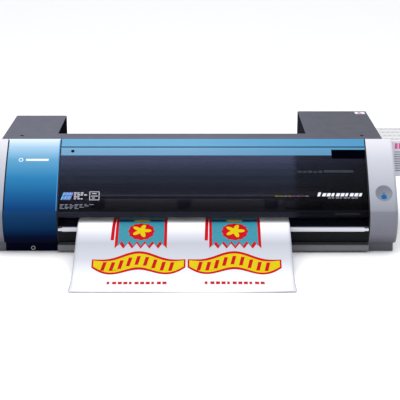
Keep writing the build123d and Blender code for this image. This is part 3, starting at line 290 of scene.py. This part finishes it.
def glowing(name, strength):
    """A painted glow on a part that is no lamp: the ink's colour, given off as faint light through the dark
    window.
    """
    m = PRINT_AND_PAINTED_LIGHT[name].copy()
    m.name = "painted_glow_" + name
    nt = m.node_tree
    bsdf = nt.nodes["Principled BSDF"]
    nt.links.new(bsdf.inputs["Base Color"].links[0].from_socket, bsdf.inputs["Emission Color"])
    bsdf.inputs["Emission Strength"].default_value = strength
    return m


GLOW = {name: glowing(name, 0.8) for name in ("yellow", "magenta", "dim", "pale")}
PRINT_AND_PAINTED_LIGHT["strip"] = glowing("strip", 0.45)
SLOT_OF = {p["node"]: p["material_slot"] for p in frame["record"]["subparts"]}
for node, obj in frame["nodes"].items():
    material = MATS[SLOT_OF[node]]
    if not obj.material_slots:
        obj.data.materials.append(material)
    for slot in obj.material_slots:
        slot.material = material


# ---------------------------------------------------------------- meshes
def piece(name, verts, faces, material, body, smooth=False):
    """A new mesh piece in the row frame, riding on a body."""
    mesh = bpy.data.meshes.new(name)
    mesh.from_pydata([tuple(v) for v in verts], [], faces)
    mesh.materials.append(material)
    for poly in mesh.polygons:
        poly.use_smooth = smooth
    obj = bpy.data.objects.new(name, mesh)
    bpy.context.scene.collection.objects.link(obj)
    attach(obj, body)
    return obj


def grid(name, fn, nu, nv, material, body, smooth=True):
    """A patch from fn(u, v) with u and v from 0 to 1."""
    verts = [fn(i / nu, j / nv) for j in range(nv + 1) for i in range(nu + 1)]
    faces = [(j * (nu + 1) + i, j * (nu + 1) + i + 1, (j + 1) * (nu + 1) + i + 1, (j + 1) * (nu + 1) + i)
             for j in range(nv) for i in range(nu)]
    return piece(name, verts, faces, material, body, smooth)


def block(name, lo, hi, material, body, edge=0.0008):
    """A box with rounded edges, from its corners in metres."""
    x0, y0, z0 = lo
    x1, y1, z1 = hi
    verts = [(x, y, z) for x in (x0, x1) for y in (y0, y1) for z in (z0, z1)]
    faces = [(0, 1, 3, 2), (4, 6, 7, 5), (0, 4, 5, 1), (2, 3, 7, 6), (0, 2, 6, 4), (1, 5, 7, 3)]
    obj = piece(name, verts, faces, material, body)
    bevel = obj.modifiers.new("edge", "BEVEL")
    bevel.width = min(edge, 0.45 * min(x1 - x0, y1 - y0, z1 - z0))
    bevel.segments = 3
    return obj


# ---------------------------------------------------------------- the front profile, as in part.py
TOP_EDGE, UPPER_MID, CREASE = (-95.0, 255.0), (-175.5, 188.0), (-243.0, 108.0)


def circle_through(a, b, c):
    d = 2 * (a[0] * (b[1] - c[1]) + b[0] * (c[1] - a[1]) + c[0] * (a[1] - b[1]))
    sa, sb, sc = (p[0] ** 2 + p[1] ** 2 for p in (a, b, c))
    y = (sa * (b[1] - c[1]) + sb * (c[1] - a[1]) + sc * (a[1] - b[1])) / d
    z = (sa * (c[0] - b[0]) + sb * (a[0] - c[0]) + sc * (b[0] - a[0])) / d
    return (y, z), math.dist((y, z), a)


ARC, ARC_R = circle_through(TOP_EDGE, UPPER_MID, CREASE)
ARC_A = math.atan2(TOP_EDGE[1] - ARC[1], TOP_EDGE[0] - ARC[0])
ARC_B = math.atan2(CREASE[1] - ARC[1], CREASE[0] - ARC[0])


def on_front(x, share, lift=0.12):
    """A point on the upper arc, x and lift in the drawing's millimetres."""
    a = ARC_A + (ARC_B - ARC_A) * share
    r = ARC_R + lift
    return (Vector((x, ARC[0] + r * math.cos(a), ARC[1] + r * math.sin(a))) + SHIFT) * MM


def patch(name, x, share, material, body, lift=0.12):
    """A mark on the upper arc; it serves for print, painted highlights and painted shade."""
    nv = max(3, int((share[1] - share[0]) * 40))
    return grid(name, lambda u, v: on_front(x[0] + (x[1] - x[0]) * u,
                                            share[1] + (share[0] - share[1]) * v, lift),
                4, nv, material, body)


ARC_LEN = ARC_R * abs(ARC_B - ARC_A)


def ring_mark(name, x, share, r_in, r_out, material, body, gap=0.0, lift=0.12):
    """A printed ring on the upper arc; gap is the open angle at its top, in radians."""
    def fn(u, v):
        a = math.pi / 2 + gap / 2 + (2 * math.pi - gap) * u
        r = r_out + (r_in - r_out) * v
        return on_front(x + r * math.cos(a), share - r * math.sin(a) / ARC_LEN, lift)
    return grid(name, fn, 40, 2, material, body)


# ---------------------------------------------------------------- printed marks on the covers, with painted highlights and painted shade
def slanted(name, x, share, lean, material, body, lift=0.12):
    """A printed bar on the upper arc whose top edge leans lean millimetres to the right."""
    return grid(name, lambda u, v: on_front(x[0] + (x[1] - x[0]) * u + lean * (1 - v),
                                            share[0] + (share[1] - share[0]) * v, lift),
                4, 4, material, body)


BADGE_X, BADGE_STEP, BADGE_BAR = -327.0, 4.1, 3.4
LINES_X, WORD_STEP, LINE_STEP = -294.5, 8.2, 0.025
FRAME_X, FRAME_S, FRAME_PEN = (-256.5, -232.5), (0.748, 0.855), (1.2, 0.005)
NOTES_X, NOTE_STEP, NOTE_ROW = -328.0, 12.0, 0.0165
TITLE_X, TITLE_STEP = 300.0, 11.2
SUBTITLE_X, SUBTITLE_STEP = 326.0, 9.6
GHOST_X, GHOST_STEP = 254.0, 13.0
STRIP_X = (-325.0, 196.0)                # the strip behind the window, given a painted glow
STRIP_END_X, STRIP_END_STEP = 197.0, 10.5
SHADE_LINER_TOP = 254.4

ring_mark("panel_mark_ring", -430.5, 0.318, 3.6, 5.6, PRINT_AND_PAINTED_LIGHT["pale"], "chassis")
patch("panel_mark_bar", (-418, -362), (0.303, 0.333), PRINT_AND_PAINTED_LIGHT["pale"], "chassis")
# a lighter blue line along the blue panel's right edge: a painted highlight
patch("panel_edge_highlight_right", (-338.0, -336.15), (0.02, 0.985), PRINT_AND_PAINTED_LIGHT["edge"], "chassis", 0.10)
patch("panel_edge_left", (-465.4, -464.0), (0.02, 0.985), PRINT_AND_PAINTED_LIGHT["edge_dark"], "chassis", 0.10)
ring_mark("button_icon_ring", 463.5, 0.758, 1.3, 2.0, PRINT_AND_PAINTED_LIGHT["print_and_shade"], "chassis", gap=1.1, lift=-4.75)
def window_mark(name, x, share, ink):
    """A printed mark, painted reflection or painted shade line on the front cover's window."""
    patch(name, x, share, PRINT_AND_PAINTED_LIGHT[ink], "front_cover")


for i in range(6):
    x = BADGE_X + BADGE_STEP * i
    slanted(f"window_badge_{i}", (x, x + BADGE_BAR), (0.758, 0.852), 7.0,
            PRINT_AND_PAINTED_LIGHT["violet" if i % 2 else "cyan"], "front_cover")
for i, words in enumerate((3, 4, 2, 3)):
    row = 0.760 + LINE_STEP * i
    for k in range(words):
        x = LINES_X + WORD_STEP * k
        window_mark(f"window_line_{i}_{k}", (x, x + 6.8 - 1.6 * ((i + k) % 2)), (row, row + 0.010), "pale")
left, right = FRAME_X
top, foot = FRAME_S
pen_x, pen_s = FRAME_PEN
for k, (x, share) in enumerate((((left, right), (top, top + pen_s)),
                                ((left, right), (foot - pen_s, foot)),
                                ((left, left + pen_x), (top + pen_s, foot - pen_s)),
                                ((right - pen_x, right), (top + pen_s, foot - pen_s)),
                                ((left + 4, right - 4), (0.796, 0.808)),
                                ((left + 6, right - 7), (0.770, 0.776)),
                                ((left + 6, right - 11), (0.826, 0.832)))):
    window_mark(f"window_frame_{k}", x, share, "pale")
for i in range(4):
    row = 0.908 + NOTE_ROW * i
    for k in range(7 - i):
        x = NOTES_X + NOTE_STEP * k
        window_mark(f"window_note_{i}_{k}", (x, x + 10.2 - 2.5 * ((i + k) % 3)), (row, row + 0.0065), "dim")
for i in range(10):
    x = TITLE_X + TITLE_STEP * i
    slanted(f"window_title_{i}", (x, x + (8.6 if i % 3 else 6.4)), (0.768 if i else 0.758, 0.808), 3.5,
            PRINT_AND_PAINTED_LIGHT["pale"], "front_cover")
for i in range(8):
    x = SUBTITLE_X + SUBTITLE_STEP * i
    window_mark(f"window_subtitle_{i}", (x, x + 7.6 - 2.2 * (i % 2)), (0.822, 0.834), "dim")

# what shows faintly through the dark glass
for i in range(5):
    x = GHOST_X + GHOST_STEP * i
    window_mark(f"window_ghost_{i}", (x, x + 9.5), (0.468 + 0.006 * (i % 2), 0.500), "ghost")
window_mark("window_ghost_bar", (320, 392), (0.462, 0.496), "ghost")
window_mark("window_strip_glint", STRIP_X, (0.797, 0.8035), "reflection")
window_mark("window_strip_glint_low", STRIP_X, (0.843, 0.8465), "ghost")
for i, ink in enumerate(("amber", "amber", "haze", "amber", "plum", "haze", "plum", "haze")):
    x = STRIP_END_X + STRIP_END_STEP * i
    window_mark(f"window_strip_end_{i}", (x, x + 8.5), (0.800, 0.8095), ink)
# a dark line along the window's crease: painted shade
window_mark("window_edge_line", (-332.2, 424.2), (0.984, 0.999), "print_and_shade")


def in_frame(*p):
    return (Vector(p) + SHIFT) * MM


# ---------------------------------------------------------------- strip with a painted glow, and ribs on the beam
block("encoder_strip", in_frame(STRIP_X[0], -140.6, 121.0), in_frame(STRIP_X[1], -140.0, 124.2),
      PRINT_AND_PAINTED_LIGHT["strip"], "chassis")
for i, ink in enumerate(("yellow", "yellow", "dim", "yellow", "magenta", "dim", "pale", "dim")):
    x = STRIP_END_X + STRIP_END_STEP * i
    block(f"encoder_end_{i}", in_frame(x, -140.7, 120.6), in_frame(x + 9.0, -140.1, 124.0),
          GLOW[ink], "chassis")
for i in range(5):
    z = 128 + 10 * i
    block(f"beam_rib_{i}", in_frame(-330, -140.4, z), in_frame(300 + 4 * i, -139.9, z + 1.6),
          MATS["plate_black"], "chassis", 0.0001)

# ---------------------------------------------------------------- painted shade on the boxes' inner walls, label on the right box
# dark sheets on the rear boxes' inner walls: painted shade
block("left_box_shade_liner", in_frame(-349.6, -34.5, 24.2), in_frame(-348.9, 178.0, SHADE_LINER_TOP),
      PRINT_AND_PAINTED_LIGHT["print_and_shade"], "chassis", 0.0002)
block("right_box_shade_liner", in_frame(282.9, -34.5, 24.2), in_frame(283.6, 235.0, SHADE_LINER_TOP),
      PRINT_AND_PAINTED_LIGHT["painted_shade_soft"], "chassis", 0.0002)
block("box_label", in_frame(439, 203, 254.9), in_frame(466, 230, 255.25), PRINT_AND_PAINTED_LIGHT["pale"], "chassis", 0.0001)
for part, lo, hi in (("bar", (445, 207), (457, 213)), ("box", (448, 217), (455, 225))):
    block("box_label_" + part, in_frame(*lo, 255.2), in_frame(*hi, 255.35), PRINT_AND_PAINTED_LIGHT["red"], "chassis", 0.00005)

# ---------------------------------------------------------------- cartridges
LABELS = ("magenta", "cyan", "yellow", "black")
CARTRIDGE_OUT = 0.082                    # how far a cartridge stands out of the machine
PROUD, SUNK = 0.0003, 0.0002             # how far a mark stands above its surface, and goes into it


def cartridge_mark(name, lo, hi, material, body, edge=0.0001):
    block(name, lo, hi, material, body, edge)


for i in range(4):
    body = f"ink_cartridge_{i + 1}"
    (_, y0, _), (x1, y1, z1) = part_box(body)
    x0 = x1 - CARTRIDGE_OUT
    tag = PRINT_AND_PAINTED_LIGHT[LABELS[i]]
    front, top = (y0 - PROUD, y0 + SUNK), (z1 - SUNK, z1 + PROUD)
    for k in range(5):
        x = x0 + 0.030 + 0.0098 * k
        cartridge_mark(f"cartridge_tag_{i + 1}_{k}", (x, front[0], z1 - 0.0215),
                       (x + 0.007, front[1], z1 - 0.0070), tag, body)
    for k in range(9):
        z = z1 - 0.031 - 0.0060 * k
        cartridge_mark(f"cartridge_text_{i + 1}_{k}", (x0 + 0.030, front[0], z),
                       (x0 + 0.078, front[1], z + 0.0026), PRINT_AND_PAINTED_LIGHT["dim"], body)
    cartridge_mark(f"cartridge_end_label_{i + 1}", (x1 - SUNK, y0 + 0.006, z1 - 0.070),
                   (x1 + 0.0004, y1 - 0.006, z1 - 0.020), tag, body, 0.0002)
    for k in range(2):
        y = y0 + 0.010 + 0.012 * k
        cartridge_mark(f"cartridge_line_{i + 1}_{k}", (x0 + 0.004, y, top[0]),
                       (x1 - 0.004, y + 0.0014, top[1]), PRINT_AND_PAINTED_LIGHT["dim"], body)
    for k in range(6):
        x = x0 + 0.010 + 0.012 * k
        cartridge_mark(f"cartridge_spot_{i + 1}_{k}", (x, y0 + 0.0150, top[0]),
                       (x + 0.005, y0 + 0.0185, top[1]), PRINT_AND_PAINTED_LIGHT["yellow"], body)
    for k in range(4):
        x = x1 - 0.008 - 0.006 * k
        cartridge_mark(f"cartridge_rib_{i + 1}_{k}", (x - 0.0012, y1 - 0.010, z1 - 0.0006),
                       (x + 0.0012, y1 - 0.004, z1 + 0.0009), MATS["cartridge"], body, 0.0005)

# ---------------------------------------------------------------- rings round the screws: painted shade round the top screws, a steel ring at the plinth screw
plinth = (Vector((-398.0, -221.2, 9.0)) + SHIFT) * MM


def torus(name, centre, r, tube, axis, material, body):
    """A ring about an axis ('y' or 'z')."""
    def fn(u, v):
        a, b = 2 * math.pi * u, 2 * math.pi * v
        rr = r + tube * math.cos(b)
        flat = (rr * math.cos(a), rr * math.sin(a), tube * math.sin(b))
        off = (flat[0], flat[2], flat[1]) if axis == "y" else flat
        return centre + Vector(off)
    return grid(name, fn, 40, 10, material, body)


# dark rings round the top screws: painted shade
for k, (x, y) in enumerate(((-438.5, -58.0), (424.5, -58.0))):
    torus(f"top_screw_shade_ring_{k}", in_frame(x, y, 255.0), 0.0042, 0.0005, "z", PRINT_AND_PAINTED_LIGHT["print_and_shade"], "chassis")
torus("plinth_screw_ring", plinth, 0.0044, 0.0008, "y", MATS["shaft_steel"], "chassis")


# ---------------------------------------------------------------- the sheet
SLO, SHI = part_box("media_sheet")
SHEET_T = 0.0005
BEND_Y = (-228.0 + SHIFT[1]) * MM
R1, R2, SLOPE = 0.110, 0.150, math.radians(25.0)
Z_TOP, Z_REST = SHI[2] - SHEET_T / 2, SLO[2] + SHEET_T / 2
FLAT_BACK = SHI[1] - BEND_Y
RUN = (Z_TOP - Z_REST - (R1 + R2) * (1 - math.cos(SLOPE))) / math.sin(SLOPE)
LAND_Y = BEND_Y - (R1 + R2) * math.sin(SLOPE) - RUN * math.cos(SLOPE)
SHEET_LEN = FLAT_BACK + (R1 + R2) * SLOPE + RUN + (LAND_Y - SLO[1])
X_MID = (SLO[0] + SHI[0]) / 2
HALF_W = (SHI[0] - SLO[0]) / 2
WAVE_H, CURL_H = 0.0009, 0.0022          # the sheet's soft waves and its curled front corners


def along(s):
    """(y, z, slope) of the sheet's middle at a length s from its back edge."""
    if s <= FLAT_BACK:
        return SHI[1] - s, Z_TOP, 0.0
    s -= FLAT_BACK
    if s <= R1 * SLOPE:
        t = s / R1
        return BEND_Y - R1 * math.sin(t), Z_TOP - R1 * (1 - math.cos(t)), t
    s -= R1 * SLOPE
    y = BEND_Y - R1 * math.sin(SLOPE)
    z = Z_TOP - R1 * (1 - math.cos(SLOPE))
    if s <= RUN:
        return y - s * math.cos(SLOPE), z - s * math.sin(SLOPE), SLOPE
    s -= RUN
    y -= RUN * math.cos(SLOPE)
    z -= RUN * math.sin(SLOPE)
    if s <= R2 * SLOPE:
        t = SLOPE - s / R2
        return y - R2 * (math.sin(SLOPE) - math.sin(t)), z - R2 * (math.cos(t) - math.cos(SLOPE)), t
    s -= R2 * SLOPE
    return LAND_Y - s, Z_REST, 0.0


def on_sheet(u, s, lift=0.0):
    """The sheet's point at u across and s along, in metres, with its soft waves."""
    y, z, slope = along(min(max(s, 0.0), SHEET_LEN))
    free = max(0.0, min(1.0, (s - FLAT_BACK) / 0.12))
    wave = WAVE_H * free * math.sin(u * 17.0 + 0.6) * math.sin(s * 21.0)
    curl = CURL_H * free * (abs(u) / HALF_W) ** 6 * max(0.0, (s - 0.40) / 0.09)
    up = lift + max(0.0, wave + WAVE_H * free) + curl
    return Vector((X_MID + u, y - up * math.sin(slope), z + up * math.cos(slope)))


def build_sheet():
    nu, nv = 60, 150
    verts, faces = [], []
    for side in (1, -1):
        for j in range(nv + 1):
            for i in range(nu + 1):
                verts.append(on_sheet(HALF_W * (2 * i / nu - 1), SHEET_LEN * j / nv, side * SHEET_T / 2))
    row, layer = nu + 1, (nu + 1) * (nv + 1)
    for j in range(nv):
        for i in range(nu):
            a = j * row + i
            faces.append((a, a + row, a + row + 1, a + 1))
            faces.append((layer + a, layer + a + 1, layer + a + row + 1, layer + a + row))
    rim = [i for i in range(nu)] + [j * row + nu for j in range(nv)]
    rim += [nv * row + nu - i for i in range(nu)] + [(nv - j) * row for j in range(nv)]
    for k, a in enumerate(rim):
        b = rim[(k + 1) % len(rim)]
        faces.append((a, b, layer + b, layer + a))
    return piece("printed_sheet", verts, faces, MATS["media"], "chassis", True)


sheet = build_sheet()
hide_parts("media_sheet")


def print_and_shade_patch(name, fn, nu, nv, ink, lift):
    obj = grid(name, lambda u, v: on_sheet(*fn(u, v), SHEET_T / 2 + lift * MM), nu, nv, PRINT_AND_PAINTED_LIGHT[ink], "chassis")
    return obj


def blob(name, cu, cs, fn_r, ink, lift):
    """A closed printed shape: fn_r(angle) is its radius in metres."""
    def fn(u, v):
        a = 2 * math.pi * u
        r = fn_r(a) * (1 - v)
        return cu + r * math.cos(a), cs - r * math.sin(a)
    return print_and_shade_patch(name, fn, 72, 14, ink, lift)


def band(name, cu, half, cs, amp, width, ink, lift):
    """A printed wavy band."""
    def fn(u, v):
        x = half * (2 * u - 1)
        taper = 1 - 0.55 * abs(2 * u - 1) ** 3
        return cu + x, cs + amp * math.sin(2.0 * math.pi * u * WAVES) + width * taper * (0.5 - v)
    return print_and_shade_patch(name, fn, 60, 6, ink, lift)


def sawtooth(name, cu, half, s0, s1, teeth, depth, ink, lift):
    """A printed plate with a toothed front edge."""
    def fn(u, v):
        tooth = abs(2 * ((u * teeth) % 1.0) - 1)
        return cu + half * (2 * u - 1), s0 + (s1 + depth * tooth - s0) * v
    return print_and_shade_patch(name, fn, 8 * teeth, 48, ink, lift)


EDGE_S = 0.15                            # where the sheet's painted edge-shade lines begin
PLATE_S, PLATE_FOOT, TEETH, TOOTH = 0.158, 0.273, 6, 0.018
WAVE_S, WAVE_AMP, WAVES, WAVE_HALF = 0.350, 0.011, 1.5, 0.106
DASH_S, DASH_LEN = 0.437, 0.016

# grey lines along the sheet's front and side edges: painted shade along its cut edge
for k, (u0, u1, s0, s1) in enumerate(((-1.0, 1.0, SHEET_LEN - 0.0012, SHEET_LEN - 0.0001),
                                      (-1.0, -0.9955, EDGE_S, SHEET_LEN),
                                      (0.9955, 1.0, EDGE_S, SHEET_LEN))):
    def edge_line(u, v, u0=u0, u1=u1, s0=s0, s1=s1):
        return HALF_W * (u0 + (u1 - u0) * u), s0 + (s1 - s0) * v
    print_and_shade_patch(f"sheet_edge_{k}", edge_line, 2 if k else 60, 110 if k else 2, "edge_shade", 0.06)

for n, cu in enumerate((-0.1045, 0.1205)):
    tag = f"art_{n}"
    mid = cu + 0.003
    sawtooth(tag + "_edge", mid, 0.062, PLATE_S, PLATE_FOOT + 0.008, TEETH, TOOTH, "red", 0.10)
    sawtooth(tag + "_plate", mid, 0.055, PLATE_S, PLATE_FOOT, TEETH, TOOTH, "teal", 0.17)
    blob(tag + "_disc", mid, 0.238, lambda a: 0.031 + 0.0012 * math.cos(12 * a), "red", 0.24)
    blob(tag + "_star", mid, 0.236, lambda a: 0.017 + 0.007 * math.cos(5 * a), "yellow", 0.31)

    def side_strip(u, v, x=mid - 0.070):
        return x + 0.008 * u - 0.003 * v, PLATE_S + 0.112 * v
    print_and_shade_patch(tag + "_side", side_strip, 3, 40, "red", 0.10)
    for k, ink in enumerate(("blue", "yellow", "blue")):
        def tile(u, v, x=mid - 0.056 + 0.0385 * k):
            return x + 0.035 * u, 0.184 + 0.012 * v
        print_and_shade_patch(f"{tag}_tile_{k}", tile, 6, 4, ink, 0.24)
    band(tag + "_band_edge", cu, WAVE_HALF + 0.004, WAVE_S, WAVE_AMP, 0.062, "red", 0.10)
    band(tag + "_band", cu, WAVE_HALF, WAVE_S, WAVE_AMP, 0.046, "yellow", 0.17)
    for k in range(9):
        u0 = cu - 0.089 + 0.0198 * k
        turn = 2 * math.pi * WAVES * (u0 + 0.0075 - cu + WAVE_HALF) / (2 * WAVE_HALF)

        def stroke(u, v, u0=u0, s0=WAVE_S + WAVE_AMP * math.sin(turn)):
            return u0 + 0.0085 * u + 0.006 * (1 - v), s0 - 0.0145 + 0.029 * v
        print_and_shade_patch(f"{tag}_stroke_{k}", stroke, 4, 6, "red", 0.24)
    for k in range(11):
        def dash(u, v, u0=cu - 0.070 + 0.0128 * k, wide=0.0092 if k % 4 else 0.006):
            return u0 + wide * u, DASH_S - DASH_LEN * v
        print_and_shade_patch(f"{tag}_dash_{k}", dash, 3, 3, "red", 0.10)

# ---------------------------------------------------------------- softened edges on the CAD covers
for node in ("top_cover", "left_rear_box", "right_rear_box", "left_front_panel", "right_pillar",
             "left_end_cap", "cover_band", "upper_band", "loading_lever", "print_head",
             "maintenance_station", "ink_bay", "base_pan", "platen"):
    soft = frame["nodes"][node].modifiers.new("edge", "BEVEL")
    soft.width = 0.0006
    soft.segments = 2
    soft.limit_method = "ANGLE"
    soft.angle_limit = math.radians(50)
    soft.harden_normals = False

# ---------------------------------------------------------------- floor, light, camera
bpy.ops.mesh.primitive_plane_add(size=14, location=(0, 0, -0.0002))
floor = bpy.context.object
floor.name = "floor"
floor.data.materials.append(surface("floor_paper", [0.93, 0.93, 0.94, 1], 0.75, vary=0.004, grit=0.02))

scene = bpy.context.scene
scene.view_settings.view_transform = "Standard"
world = bpy.data.worlds.new("studio")
scene.world = world
world.use_nodes = True
world.node_tree.nodes["Background"].inputs["Color"].default_value = (0.97, 0.98, 1.0, 1)
world.node_tree.nodes["Background"].inputs["Strength"].default_value = 0.85


def area(name, location, target, size, energy):
    light = bpy.data.lights.new(name, "AREA")
    light.shape = "RECTANGLE"
    light.size, light.size_y = size
    light.energy = energy
    obj = bpy.data.objects.new(name, light)
    obj.location = location
    obj.rotation_euler = (Vector(target) - Vector(location)).to_track_quat("-Z", "Y").to_euler()
    scene.collection.objects.link(obj)


area("key", (0.0, -0.4, 2.6), (0, 0, 0.1), (3.4, 2.2), 55)
area("floor_fill", (0.0, 5.5, 3.0), (0, 5.6, 0), (8.0, 6.0), 45)
area("front_fill", (-1.2, -2.8, 1.6), (0, 0, 0.1), (1.6, 1.2), 12)

PITCH = math.radians(74.0)               # the camera looks 16 degrees down
camera = bpy.data.cameras.new("camera")
camera.lens = 113.4
camera.sensor_width = 36.0
cam = bpy.data.objects.new("camera", camera)
cam.location = (-0.016, -3.04125, 0.98)
cam.rotation_euler = (PITCH, 0, 0)
scene.collection.objects.link(cam)
scene.camera = cam
